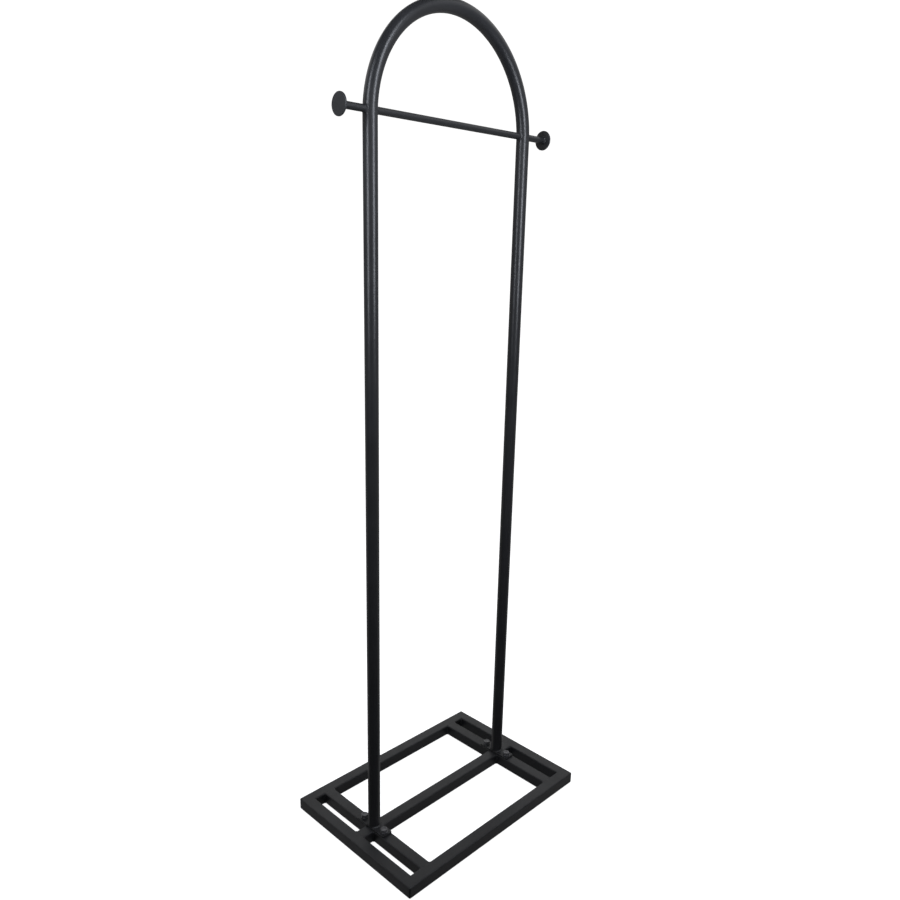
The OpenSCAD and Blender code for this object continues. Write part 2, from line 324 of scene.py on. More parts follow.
JOINT_BEAD = 0.0025  # leg of the fillets
JOINT_CROWN = 0.0004  # how far a fillet bulges past the straight line between its toes
GROUND_CROWN = 0.00003
GROUND_TOE = 0.0006  # how far the ground weld laps onto the rail that ends there
GROOVE_FILL = 0.0019  # depth of weld metal in the groove
GROOVE_TURN = 1.33  # angle round the other tube's edge at which the ground weld stops
RIPPLE_PITCH = 0.0016
RIPPLE_BOW = 0.45  # how many pitches the middle of a ripple runs ahead of its ends
RIPPLE_DEPTH = 0.45  # share of the crown that is lost between two ripples
TOE_WANDER = ((0.05, 3, 0), (0.04, 8, 1))  # share of the leg, waves and start of each
BEAD_STEPS = 7
BEAD_SPACING = 0.0003

weld_coat = powder_coat("powder_coat_over_weld", peel=0.00004, grain=0.00001)


def bead(root, toe_a, toe_b, crown, closed=False):
    """A weld bead along a row of stations, given by its root and its two toes. Its face is
    the straight line between the toes plus a parabola across, as high as the crown. Along
    the bead the parabola swells and dips in crescents, the sine of a skewed saw tooth, and
    the toes wander a little, with whole numbers of waves so that a closed bead meets."""
    middle_line = (toe_a + toe_b) / 2
    after = np.concatenate([middle_line[1:], middle_line[:1] if closed else middle_line[-1:]])
    step = np.linalg.norm(after - middle_line, axis=1)
    run = (np.cumsum(step) - step) / step.sum()
    wander = 1 + sum(share * np.sin(2 * np.pi * waves * run + start)
                     for share, waves, start in TOE_WANDER)
    toe_a, toe_b = (root + (toe - root) * wander[:, None] for toe in (toe_a, toe_b))
    outwards = (toe_a + toe_b) / 2 - root
    outwards /= np.maximum(np.linalg.norm(outwards, axis=1, keepdims=True), 1e-9)
    share = np.linspace(0, 1, BEAD_STEPS + 1)[:, None]
    ripples = run * round(step.sum() / RIPPLE_PITCH) + RIPPLE_BOW * 4 * share * (1 - share)
    swell = 1 - RIPPLE_DEPTH * (1 - np.sin(np.pi * (ripples % 1) ** 0.7))
    rise = 4 * share * (1 - share) * crown * swell
    share = share[..., None]
    face = (1 - share) * toe_a + share * toe_b + rise[..., None] * outwards
    return skin(np.concatenate([face, root[None]]), wrap_rows=True, wrap_columns=closed)


def joint_bead(side):
    """The bead round a rail that ends at X = 0 and runs towards +X. `upright` is 1 where it
    lies on the rail's top or underside and 0 on its sides: it turns the fillet into a ground
    fill whose far toe lies on the round edge of the tube at X < 0."""
    reach = side / 2 - RAIL_CORNER
    steps = int(np.pi / 2 * RAIL_CORNER / BEAD_SPACING), int(2 * reach / BEAD_SPACING)
    outline, _ = rounded_square(side, RAIL_CORNER, *steps)
    normal = (outline - np.clip(outline, -reach, reach)) / RAIL_CORNER
    upright = normal[:, 1] ** 2
    y, z = outline.T
    zero = np.zeros_like(y)
    depth = GROOVE_FILL * upright
    root = np.stack([zero, y - normal[:, 0] * depth, z - normal[:, 1] * depth], axis=1)
    near = np.stack([JOINT_BEAD + (GROUND_TOE - JOINT_BEAD) * upright, y, z], axis=1)
    climb = (1 - upright) * np.abs(z) + upright * (reach + GROOVE_TURN * RAIL_CORNER)
    turn = np.maximum(climb - reach, 0) / RAIL_CORNER
    far = np.stack([RAIL_CORNER * (np.cos(turn) - 1), y + JOINT_BEAD * normal[:, 0],
                    np.sign(z) * (np.minimum(climb, reach) + RAIL_CORNER * np.sin(turn))], axis=1)
    return bead(root, near, far, JOINT_CROWN + (GROUND_CROWN - JOINT_CROWN) * upright, closed=True)


def corner_bead(height):
    """An upright fillet between a wall at X = 0 and a wall at Y = 0, tapered at both ends."""
    along = np.linspace(-1, 1, int(height / BEAD_SPACING) + 1)
    leg = JOINT_BEAD * np.sqrt(1 - along ** 8)
    root = np.stack([0 * along, 0 * along, along * height / 2], axis=1)
    toe_a = root + leg[:, None] * np.array([1, 0, 0])
    toe_b = root + leg[:, None] * np.array([0, 1, 0])
    return bead(root, toe_a, toe_b, JOINT_CROWN * leg / JOINT_BEAD)


rail_side = (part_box("centre_rail")[1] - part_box("centre_rail")[0])[2]
rail_height = middle("centre_rail")[2]
for side, sign in (("left", -1), ("right", 1)):
    inner_x, end_x = middle(f"{side}_inner_rail")[0], middle(f"{side}_end_rail")[0]
    end_y = middle("back_rail")[1] - rail_side / 2
    towards, away = (0, 2) if sign > 0 else (2, 0)
    joints = [
        ((inner_x, -end_y), 1),
        ((inner_x, end_y), 3),
        ((inner_x - sign * rail_side / 2, 0), away),
        ((inner_x + sign * rail_side / 2, 0), towards),
        ((end_x - sign * rail_side / 2, 0), away),
    ]
    beads = []
    for (x, y), turns in joints:
        beads += moved([joint_bead(rail_side)], turns, (x, y, rail_height))
    corner_x = end_x - sign * rail_side / 2
    for y, turns in ((-end_y, 0 if sign < 0 else 1), (end_y, 3 if sign < 0 else 2)):
        upright = corner_bead(rail_side - 2 * RAIL_CORNER)
        beads += moved([upright], turns, (corner_x, y, rail_height))
    made(f"{side}_base_beads", beads, weld_coat, "coated_weld", f"{side}_base_weld")


# ------------------------------------------------------------------------------------------
# Threaded inserts. Zinc-plated steel rivet nuts pressed into the inner rails: a sleeve with
# an M8 thread inside, flush with the rail, whose thin wall is upset into a collar under it.

THREAD_PITCH = 0.00125
THREAD_DEPTH = 0.00066
THREAD_ROWS = 10  # rows of quads in one pitch
THREAD_COLUMNS = 48
THREAD_GAP = 0.00006  # between the bolt's thread and the insert's
THREAD_CREST, THREAD_FLANK = 0.12, 0.7  # shares of half a pitch
BOLT_RADIUS = 0.004
INSERT_RADIUS = 0.0055
INSERT_CHAMFER = 0.0004
COLLAR_HEIGHT = 0.0025
EASE_STEPS = 5

# Lumps to the metre
ZINC_GRAIN, ZINC_BRUSHING, ZINC_PITS = 700, 1500, 2600
ZINC_DARK, ZINC_LIGHT = (0.36, 0.365, 0.38, 1), (0.52, 0.525, 0.53, 1)


def zinc_plate(name):
    """Bright zinc: a metal with pale and dark grains and a faint brushed roughness."""
    zinc = bpy.data.materials.new(name)
    zinc.use_nodes = True
    tree = zinc.node_tree
    shader = tree.nodes["Principled BSDF"]
    shader.inputs["Metallic"].default_value = 1.0
    grain = spread(tree, noise(tree, ZINC_GRAIN, 3), 0.0, 1.0)
    tree.links.new(blend(tree, grain, ZINC_DARK, ZINC_LIGHT), shader.inputs["Base Color"])
    gloss = spread(tree, noise(tree, ZINC_BRUSHING, 4), 0.28, 0.5)
    tree.links.new(gloss, shader.inputs["Roughness"])
    tree.links.new(bumps(tree, (noise(tree, ZINC_PITS, 3), 0.000008)), shader.inputs["Normal"])
    return zinc


def eased(corners, radii):
    """A profile through corners, each rounded by a true arc of its own radius that touches
    both of its sides. A radius of 0 keeps the corner."""
    corners = np.asarray(corners, float)
    points = []
    for corner, before, after, radius in zip(corners, np.roll(corners, 1, 0),
                                             np.roll(corners, -1, 0), radii):
        if radius == 0:
            points.append(corner[None])
            continue
        back, on = ((end - corner) / np.linalg.norm(end - corner) for end in (before, after))
        half = np.arccos(np.clip(back @ on, -1, 1)) / 2
        centre = corner + (back + on) / np.linalg.norm(back + on) * radius / np.sin(half)
        start, stop = (corner + way * radius / np.tan(half) - centre for way in (back, on))
        sweep = np.pi - 2 * half
        share = np.linspace(0, 1, EASE_STEPS + 1)[:, None]
        points.append(centre + (np.sin((1 - share) * sweep) * start
                                + np.sin(share * sweep) * stop) / np.sin(sweep))
    return np.concatenate(points)


def turned(radius, height, columns):
    """Turns a profile about Z: each point is the radius times the cosine and the sine of its
    turn, at its height. The radius and the height may change from column to column."""
    turn = np.linspace(0, 2 * np.pi, columns, endpoint=False)
    radius, height = (np.asarray(value).reshape(len(value), -1) for value in (radius, height))
    radius, height = np.broadcast_arrays(radius, height + 0 * turn)
    return np.stack([radius * np.cos(turn), radius * np.sin(turn), height], axis=-1)


def thread(height):
    """How deep an M8 thread is cut at each height and turn: a triangle wave of the height in
    pitches less the turn in whole turns, with its crest and its root cut flat."""
    turn = np.linspace(0, 1, THREAD_COLUMNS, endpoint=False)
    wave = np.abs(2 * ((height[:, None] / THREAD_PITCH - turn) % 1) - 1)
    return THREAD_DEPTH * np.clip((wave - THREAD_CREST) / THREAD_FLANK, 0, 1)


def thread_heights(low, high):
    """Rows for a thread from low to high, fine enough for its shape."""
    return np.linspace(low, high, int(round((high - low) / THREAD_PITCH * THREAD_ROWS)) + 1)


bright_zinc = zinc_plate("bright_zinc_plate")
for side in ("left", "right"):
    for end in ("front", "back"):
        name = f"{side}_{end}"
        low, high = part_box(f"{name}_insert")
        top, bottom, collar = 0.0, low.z - high.z, (high.x - low.x) / 2
        under = -RAIL_WALL
        outside = eased(
            [(INSERT_RADIUS - INSERT_CHAMFER, top), (INSERT_RADIUS, -INSERT_CHAMFER),
             (INSERT_RADIUS, under), (collar, under), (collar, under - COLLAR_HEIGHT),
             (INSERT_RADIUS, under - COLLAR_HEIGHT), (INSERT_RADIUS, bottom),
             (BOLT_RADIUS + INSERT_CHAMFER, bottom)],
            [0, 0, 0, 0.0008, 0.0009, 0.0004, 0.0003, 0])
        heights = thread_heights(bottom + INSERT_CHAMFER, top - INSERT_CHAMFER)
        bore = BOLT_RADIUS + THREAD_GAP - thread(heights)
        wall = np.repeat(outside[:, :1], THREAD_COLUMNS, axis=1)
        sleeve = turned(np.concatenate([wall, bore]),
                        np.concatenate([outside[:, 1], heights]), THREAD_COLUMNS)
        made(f"{name}_rivet_nut", moved([skin(sleeve, wrap_rows=True, wrap_columns=True)], 0,
                                        (*middle(f"{name}_insert")[:2], high.z)),
             bright_zinc, "zinc_insert", f"{name}_insert")


# ------------------------------------------------------------------------------------------
# Floor glides. Moulded black nylon buttons under the long rails, with a low domed rim that
# meets the floor, and a ribbed stem that is knocked up into its hole in the tube.

GLIDE_RIM = 0.0007
GLIDE_COLUMNS = 64
STEM_RADIUS = 0.004
STEM_RIBS = 3
RIB_STEPS = 12
STEM_GROOVE = 0.0006
STEM_NOSE = 0.0012

# Lumps to the metre
NYLON_CLOUDS, NYLON_SPOTS, NYLON_PEBBLES = 60, 900, 3200
NYLON_DARK, NYLON_LIGHT = (0.011, 0.011, 0.012, 1), (0.02, 0.02, 0.021, 1)


def moulded_nylon(name):
    """Black nylon from a spark-eroded mould: a pebbled surface with dull and less dull spots."""
    nylon = bpy.data.materials.new(name)
    nylon.use_nodes = True
    tree = nylon.node_tree
    shader = tree.nodes["Principled BSDF"]
    shade = spread(tree, noise(tree, NYLON_CLOUDS, 4), 0.0, 1.0)
    tree.links.new(blend(tree, shade, NYLON_DARK, NYLON_LIGHT), shader.inputs["Base Color"])
    tree.links.new(spread(tree, noise(tree, NYLON_SPOTS, 3), 0.5, 0.68), shader.inputs["Roughness"])
    tree.links.new(bumps(tree, (noise(tree, NYLON_PEBBLES, 2), 0.000025)), shader.inputs["Normal"])
    return nylon


nylon = moulded_nylon("moulded_black_nylon")
for side in ("left", "right"):
    for end in ("front", "back"):
        name = f"{side}_{end}_glide"
        low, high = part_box(name)
        radius, stem_top = (high.x - low.x) / 2, high.z - low.z
        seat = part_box("front_rail")[0].z - low.z
        button = eased([(0, 0), (radius, 0), (radius, seat), (STEM_RADIUS, seat)],
                       [0, GLIDE_RIM, GLIDE_RIM, 0])
        climb = np.linspace(0, 1, RIB_STEPS * STEM_RIBS + 1)
        ribs = STEM_RADIUS - STEM_GROOVE * (climb * STEM_RIBS % 1)
        rise = seat + (stem_top - STEM_NOSE - seat) * climb
        nose = np.array([(STEM_RADIUS - 2 * STEM_GROOVE, stem_top), (0, stem_top)])
        profile = np.concatenate([button, np.stack([ribs, rise], axis=1), nose])
        shape = skin(turned(*profile.T, GLIDE_COLUMNS), wrap_columns=True)
        made(f"{name}_button", moved([shape], 0, (*middle(name)[:2], low.z)), nylon,
             "nylon_glide", name)


# ------------------------------------------------------------------------------------------
# Hoop. One length of 25 mm round steel tube, bent to a half circle between two straight
# legs, drilled through both walls of each leg for the bar, and powder-coated.

LEG_WALL = 0.0015
HOOP_COLUMNS = 64
HOLE_COLUMNS = 20  # columns and rows of quads that are left out round a bar hole
HOLE_ROWS = 16
HOLE_REACH = 0.010  # half the length of the block of quads round a hole
BAR_HOLE = 0.0061  # radius
LEG_ROWS = 30
ARCH_ROWS = 120
HOOP_GLOSS = (0.29, 0.35)  # the powder flows out smoother over the bent tube than over the base

hoop_low, hoop_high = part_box("hoop")
tube_radius = (hoop_high.y - hoop_low.y) / 2
arch_radius = hoop_high.x - tube_radius
leg_foot = hoop_low.z
bend_height = hoop_high.z - tube_radius - arch_radius
bar_height = middle("hang_bar")[2]
bar_radius = (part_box("hang_bar")[1].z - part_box("hang_bar")[0].z) / 2


def hoop_wall(radius, run):
    """Carries a circle along the hoop. `run` is the distance from the right foot: the circle
    climbs the leg, swings round the arch's centre, then comes down the left leg. Column 16
    of 64 is on the outside of the bend, and column 48 on the inside."""
    leg = bend_height - leg_foot
    swing = np.clip((run - leg) / arch_radius, 0, np.pi)[:, None]
    past = run - leg - np.pi * arch_radius
    height = np.where(run < leg, leg_foot + run, bend_height - np.maximum(past, 0))[:, None]
    turn = np.linspace(-np.pi / 2, 3 * np.pi / 2, HOOP_COLUMNS, endpoint=False)
    out = arch_radius + radius * np.cos(turn)
    across = np.broadcast_to(radius * np.sin(turn), (len(run), HOOP_COLUMNS))
    return np.stack([out * np.cos(swing), across, height + out * np.sin(swing)], axis=-1)


def leg_face(flat, radius, outside):
    """X of the right leg's face at a (Y, Z): on the tube of that radius, straight below the
    bend and round the arch's centre above it. `outside` is 1 or -1."""
    out = arch_radius + outside * np.sqrt(radius ** 2 - flat[..., 0] ** 2)
    return np.sqrt(out ** 2 - np.maximum(flat[..., 1] - bend_height, 0) ** 2)


leg_run = bend_height - leg_foot
bar_run = leg_run + arch_radius * np.arcsin((bar_height - bend_height) / arch_radius)
hoop_run = 2 * leg_run + np.pi * arch_radius
block = np.linspace(bar_run - HOLE_REACH, bar_run + HOLE_REACH, HOLE_ROWS + 1)
leg_stations = np.linspace(0, block[0], LEG_ROWS + 1)[:-1]
arch_stations = np.linspace(block[-1], hoop_run - block[-1], ARCH_ROWS + 1)[1:-1]
run = np.concatenate([leg_stations, block, arch_stations, hoop_run - block[::-1],
                      hoop_run - leg_stations[::-1]])
block_rows = (len(leg_stations), len(run) - len(leg_stations) - len(block))

patches, walls, rims = [], [], []
for radius in (tube_radius, tube_radius - LEG_WALL):
    wall = hoop_wall(radius, run)
    keep = np.ones((len(run) - 1, HOOP_COLUMNS), bool)
    for row, side in zip(block_rows, (1, -1)):
        for centre_column, outside in ((HOOP_COLUMNS // 4, 1), (3 * HOOP_COLUMNS // 4, -1)):
            column = centre_column - HOLE_COLUMNS // 2
            keep[row:row + HOLE_ROWS, column:column + HOLE_COLUMNS] = False
            edge = around(wall, row, column, HOLE_ROWS, HOLE_COLUMNS)
            hole = ring(edge, [1, 2], (0, bar_height), BAR_HOLE,
                        lambda flat: side * leg_face(flat, radius, outside))
            patches.append(skin(hole, wrap_columns=True))
            rims.append(hole[-1])
    patches.append(skin(wall, wrap_columns=True, keep=keep))
    walls.append(wall)
for row in (0, -1):
    patches.append(skin(np.stack([wall[row] for wall in walls]), wrap_columns=True))
for outer, inner in zip(rims[:4], rims[4:]):
    patches.append(skin(np.stack([outer, inner]), wrap_columns=True))
hoop_coat = powder_coat("smooth_black_powder_coat", gloss=HOOP_GLOSS)
made("hoop_tube", patches, hoop_coat, "black_powder_coat", "hoop")


# ------------------------------------------------------------------------------------------
# Hanging bar and its discs. A 12 mm round steel rod pushed through both legs, with a flat
# turned disc of 3 mm plate on each end, welded on so that a strap can't slip off.

ROD_COLUMNS = 64
ROD_CHAMFER = 0.0004
DISC_EDGE = 0.0008
DISC_COLUMNS = 128
DISC_RINGS = 6


def along_bar(points):
    """Lays a piece that was turned about Z along X, at the height of the bar."""
    return np.stack([points[..., 2], points[..., 0], points[..., 1] + bar_height], axis=-1)


rod_low, rod_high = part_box("hang_bar")
rod = eased([(0, rod_low.x), (bar_radius, rod_low.x), (bar_radius, rod_high.x), (0, rod_high.x)],
            [0, ROD_CHAMFER, ROD_CHAMFER, 0])
made("hang_bar_rod", [skin(along_bar(turned(*rod.T, ROD_COLUMNS)), wrap_columns=True)],
     hoop_coat, "black_powder_coat", "hang_bar")

for side in ("left", "right"):
    low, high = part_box(f"{side}_disc")
    radius = (high.z - low.z) / 2
    rings = np.linspace(0, radius - 2 * DISC_EDGE, DISC_RINGS + 1)
    rim = eased([(0, low.x), (radius, low.x), (radius, high.x), (0, high.x)],
                [0, DISC_EDGE, DISC_EDGE, 0])[1:-1]
    faces = [np.stack([rings, np.full_like(rings, x)], axis=1) for x in (low.x, high.x)]
    profile = np.concatenate([faces[0], rim, faces[1][::-1]])
    rub = np.zeros(len(profile))
    rub[len(rings):-len(rings)] = np.tile(np.sin(np.linspace(0, np.pi, EASE_STEPS + 1)), 2)
    disc = along_bar(turned(*profile.T, DISC_COLUMNS))
    made(f"{side}_end_disc", [skin(disc, wrap_columns=True, rub=rub[:, None])],
         black_coat, "black_powder_coat", f"{side}_disc")


# ------------------------------------------------------------------------------------------
# Welds of the bar. A small rippled bead goes right round the bar where it enters and leaves
# each leg, in the saddle between the two, and one more joins it to each disc.

BAR_BEAD = 0.0018
BAR_CROWN = 0.0003


def bar_ring(radius, x):
    """A closed row of points round the bar's axis, at a radius, with X worked out at each."""
    turn = np.linspace(0, 2 * np.pi, int(2 * np.pi * bar_radius / BEAD_SPACING), endpoint=False)
    y, z = radius * np.cos(turn), bar_height + radius * np.sin(turn)
    return np.stack([x(np.stack([y, z], axis=1)), y, z], axis=1)


for side, sign in (("left", -1), ("right", 1)):
    beads = []
    for outside in (-1, 1):
        def on_leg(flat):
            return sign * leg_face(flat, tube_radius, outside)

        root = bar_ring(bar_radius, on_leg)
        on_bar = root + np.array([sign * outside * BAR_BEAD, 0, 0])
        beads.append(bead(root, on_bar, bar_ring(bar_radius + BAR_BEAD, on_leg),
                          np.full(len(root), BAR_CROWN), closed=True))
    made(f"{side}_bar_beads", beads, weld_coat, "coated_weld", f"{side}_bar_weld")

    disc_low, disc_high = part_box(f"{side}_disc")
    disc_x = disc_high.x if sign < 0 else disc_low.x
    root = bar_ring(bar_radius, lambda flat: np.full(len(flat), disc_x))
    on_bar = root - np.array([sign * BAR_BEAD, 0, 0])
    on_disc = bar_ring(bar_radius + BAR_BEAD, lambda flat: np.full(len(flat), disc_x))
    made(f"{side}_disc_bead", [bead(root, on_bar, on_disc, np.full(len(root), BAR_CROWN), True)],
         weld_coat, "coated_weld", f"{side}_disc_weld")


# ------------------------------------------------------------------------------------------
# Foot plates. A 4 mm steel plate as wide as the tube is welded under each leg by a bead in
# front and a bead behind, and it is drilled at both ends for the bolts.

PLATE_CORNER = 0.003
PLATE_EDGE = 0.0005  # how far the plate's edges are eased
PLATE_HOLE = 0.0044  # radius
PLATE_STEPS = 12  # quads along half of a long side, and across the middle
LEG_BEAD = 0.003
LEG_CROWN = 0.0004
LEG_BEAD_TURN = np.radians(62)  # how far each bead goes round from the middle


def half_outline(half_width, half_length, inset):
    """Half of the plate's outline on the side of +Y, from +X round to -X, moved inwards:
    a long side, a quarter circle, the short side, a quarter circle and a long side."""
    corner = PLATE_CORNER - inset
    x, y = half_width - PLATE_CORNER, half_length - PLATE_CORNER
    turn = np.linspace(0, np.pi / 2, CORNER_STEPS + 1)
    arc = np.array([x, y]) + corner * np.stack([np.cos(turn), np.sin(turn)], axis=1)
    side = np.stack([np.full(PLATE_STEPS, x + corner), np.linspace(0, y, PLATE_STEPS + 1)[:-1]], 1)
    right = np.concatenate([side, arc])
    short = np.linspace(x, 0, PLATE_STEPS // 2 + 1)[1:, None] * np.array([1, 0])
    right = np.concatenate([right, short + np.array([0, y + corner])])
    return np.concatenate([right, right[-2::-1] * np.array([-1, 1])])


for side in ("left", "right"):
    low, high = (np.array(corner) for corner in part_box(f"{side}_foot_plate"))
    half_width, half_length, thickness = (high - low) * (0.5, 0.5, 1)
    hole_y = middle(f"{side}_back_bolt")[1]
    ease = np.linspace(0, np.pi / 2, EASE_STEPS + 1)
    insets = PLATE_EDGE * np.concatenate([1 - np.sin(ease), 1 - np.cos(ease)])
    drops = PLATE_EDGE * (1 - np.cos(ease))
    heights = np.concatenate([thickness - drops, drops[::-1]])
    loops = []
    for inset, height in zip(insets, heights):
        half = half_outline(half_width, half_length, inset)[:-1]
        loop = np.concatenate([half, -half])
        loops.append(np.concatenate([loop, np.full((len(loop), 1), height)], axis=1))
    rub = np.concatenate([np.sin(2 * ease), np.sin(2 * ease)])[:, None]
    patches = [skin(np.stack(loops), wrap_columns=True, rub=rub)]

    rim = half_outline(half_width, half_length, PLATE_EDGE)
    across = np.linspace(rim[-1, 0], rim[0, 0], PLATE_STEPS + 1)[1:-1]
    edge = np.concatenate([rim, np.stack([across, 0 * across], axis=1)])
    for turn in (1, -1):
        rings = [ring(np.concatenate([turn * edge, np.full((len(edge), 1), height)], axis=1),
                      [0, 1], (0, turn * hole_y), PLATE_HOLE, lambda flat: height)
                 for height in (0.0, thickness)]
        patches += [skin(points, wrap_columns=True) for points in rings]
        patches.append(skin(np.stack([points[-1] for points in rings]), wrap_columns=True))
    centre = (low + high) / 2 * (1, 1, 0) + (0, 0, low[2])
    made(f"{side}_foot", moved(patches, 0, centre), black_coat, "black_powder_coat",
         f"{side}_foot_plate")

    beads = []
    turn = np.linspace(-1, 1, int(2 * LEG_BEAD_TURN * tube_radius / BEAD_SPACING) + 1)
    leg = LEG_BEAD * np.sqrt(1 - turn ** 4)[:, None]
    for face in (-1, 1):
        way = np.stack([np.sin(turn * LEG_BEAD_TURN), face * np.cos(turn * LEG_BEAD_TURN),
                        0 * turn], axis=1)
        root = way * tube_radius
        beads.append(bead(root, root + way * leg, root + leg * np.array([0, 0, 1]),
                          LEG_CROWN * leg[:, 0] / LEG_BEAD))
    made(f"{side}_leg_beads", moved(beads, 0, (*centre[:2], high[2])), weld_coat,
         "coated_weld", f"{side}_leg_weld")


# ------------------------------------------------------------------------------------------
# Washers and bolts. Blackened steel: a pressed washer under the head of each M8 hexagon
# bolt, which goes down through the foot plate into its insert. The head is cold-formed, with
# chamfered corners, a shallow dish on top and a round bearing face underneath.

WASHER_EASE = 0.0004  # the upper edges, which the press rounded; the lower ones are burred
WASHER_BURR = 0.00015
WASHER_HOLE = 0.0044
WASHER_COLUMNS = 96
HEAD_COLUMNS = 96
HEAD_SOFTNESS = 70  # power of the mean that blends the flats; higher is sharper
HEAD_CROWN = 0.0063  # radius of the flat on top
HEAD_SLOPE = 0.5  # drop of the chamfer for each step outwards
HEAD_DISH = 0.00028
HEAD_DISH_RADIUS = 0.0044
BEARING_HEIGHT = 0.00035
BEARING_SHARE = 0.95  # of the width across flats

# Lumps to the metre
WORN_SPOTS, MOTTLING, OXIDE_SPOTS, OXIDE_PITS = 500, 260, 800, 1900
FASTENER_DARK, FASTENER_LIGHT = (0.115, 0.115, 0.121, 1), (0.205, 0.206, 0.216, 1)
FASTENER_RUBBED = (0.33, 0.33, 0.345, 1)


def blackened_steel(name):
    """Black oxide on steel: a dark, half metallic skin with fine mottling, brighter where
    a spanner or a washer has rubbed it."""
    steel = bpy.data.materials.new(name)
    steel.use_nodes = True
    tree = steel.node_tree
    shader = tree.nodes["Principled BSDF"]
    shader.inputs["Metallic"].default_value = 0.6
    rub = node(tree, "ShaderNodeAttribute")
    rub.attribute_name = "rub"
    worn = product(tree, rub.outputs["Fac"], spread(tree, noise(tree, WORN_SPOTS, 3), 0.1, 0.8))
    mottling = spread(tree, noise(tree, MOTTLING, 5), 0.0, 1.0)
    mottle = blend(tree, mottling, FASTENER_DARK, FASTENER_LIGHT)
    tree.links.new(blend(tree, worn, mottle, FASTENER_RUBBED), shader.inputs["Base Color"])
    gloss = spread(tree, noise(tree, OXIDE_SPOTS, 4), 0.32, 0.46)
    tree.links.new(gloss, shader.inputs["Roughness"])
    tree.links.new(bumps(tree, (noise(tree, OXIDE_PITS, 3), 0.00001)), shader.inputs["Normal"])
    return steel


def bolt(flats, head_height, length):
    """A hexagon bolt about Z with its bearing face at 0. The radius of the head's side at a
    turn is half the flats divided by a power mean of the cosines to the six flats, which
    rounds the corners; the chamfer drops in proportion to how far it is past the crown."""
    turn = np.linspace(0, 2 * np.pi, HEAD_COLUMNS, endpoint=False)
    facing = np.cos(turn[None] - np.radians(30 + 60 * np.arange(6))[:, None])
    mean = (np.maximum(facing, 0) ** HEAD_SOFTNESS).sum(0) ** (1 / HEAD_SOFTNESS)
    side = flats / 2 / mean
    whole = np.ones(HEAD_COLUMNS)
    dish = np.array([0, 0.4, 0.8, 0.93, 1.0]) * HEAD_DISH_RADIUS
    dip = HEAD_DISH * np.array([1, 1, 1, 0.6, 0])
    chamfer = [HEAD_CROWN + share * (side - HEAD_CROWN) for share in (0, 0.5, 1)]
    slope = [head_height - HEAD_SLOPE * (radius - HEAD_CROWN) for radius in chamfer]
    bearing = flats / 2 * BEARING_SHARE
    radii = [radius * whole for radius in dish] + chamfer + [side, bearing * whole, bearing * whole]
    heights = [(head_height - drop) * whole for drop in dip] + slope
    heights += [BEARING_HEIGHT * whole, BEARING_HEIGHT * whole, 0 * whole]
    rub = [0] * len(dish) + [0.3, 0.5, 0.9, 0.5, 0.2, 0]

    shank = thread_heights(-length, 0)[::-1]
    grow = np.clip(np.minimum(-shank, shank + length) / THREAD_PITCH, 0, 1)
    cut = np.repeat(thread(shank) * grow[:, None], HEAD_COLUMNS // THREAD_COLUMNS, axis=1)
    nose = np.clip((THREAD_PITCH - shank - length) / THREAD_PITCH, 0, 1) * THREAD_DEPTH
    radii += list(BOLT_RADIUS - np.maximum(cut, nose[:, None])) + [0 * whole]
    heights += list(shank[:, None] * whole) + [-length * whole]
    rub = np.concatenate([rub, np.zeros(len(shank) + 1)])
    return skin(turned(radii, heights, HEAD_COLUMNS), wrap_columns=True, rub=rub[:, None])


black_oxide = blackened_steel("black_oxide_steel")
for side in ("left", "right"):
    for end in ("front", "back"):
        name = f"{side}_{end}"
        low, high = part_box(f"{name}_washer")
        radius, top = (high.x - low.x) / 2, high.z - low.z
        profile = eased([(WASHER_HOLE, 0), (radius, 0), (radius, top), (WASHER_HOLE, top)],
                        [WASHER_BURR, WASHER_BURR, WASHER_EASE, WASHER_EASE])
        washer = skin(turned(*profile.T, WASHER_COLUMNS), wrap_rows=True, wrap_columns=True)
        place = (*middle(f"{name}_washer")[:2], low.z)
        made(f"{name}_plain_washer", moved([washer], 0, place), black_oxide, "black_fastener",
             f"{name}_washer")

        head_base = high.z
        low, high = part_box(f"{name}_bolt")
        flats = high.y - low.y
        made(f"{name}_hex_bolt",
             moved([bolt(flats, high.z - head_base, head_base - low.z)], 0,
                   (*place[:2], head_base)), black_oxide, "black_fastener", f"{name}_bolt")


# ------------------------------------------------------------------------------------------
# Studio. A wide pale floor under a pale backdrop, two tall soft boxes at the left and the
# front, and a dim surround with a pale band behind the stand and a dimmer one in front. The
# camera looks down over the stand's left front corner, along the diagonal of the base.

CAMERA_PLACE = (-1.07785, -1.0638, 1.16225)
CAMERA_HEADING = np.radians(45.034)  # from +Y towards +X
CAMERA_TILT = np.radians(-16.042)
CAMERA_ROLL = np.radians(1.104)
CAMERA_LENS = 31.632
CAMERA_SHIFT = (0.00948, 0.03824)
SENSOR_WIDTH = 36

FLOOR_RADIUS = 30.0
FLOOR_RINGS = 40
DOME_RINGS = 16
STAGE_COLUMNS = 96
FLOOR_PALE, FLOOR_SHADE = (0.90, 0.90, 0.90, 1), (0.86, 0.86, 0.86, 1)
FLOOR_GLOW, BACKDROP_GLOW = 0.93, 1.0
PAINT_ROUGHNESS = 0.9

SOFT_BOX_SIZE = (0.26, 1.25)
SOFT_BOX_COLOUR = (0.87, 0.91, 1.0)
SOFT_BOX_HEIGHT = 1.65
LEFT_BOX_PLACE, LEFT_BOX_AIM, LEFT_BOX_POWER = (-1.05, -0.11), (-0.2, -0.11), 7.6
FRONT_BOX_PLACE, FRONT_BOX_AIM, FRONT_BOX_POWER = (0.015, -0.9), (0.015, 0), 10.1

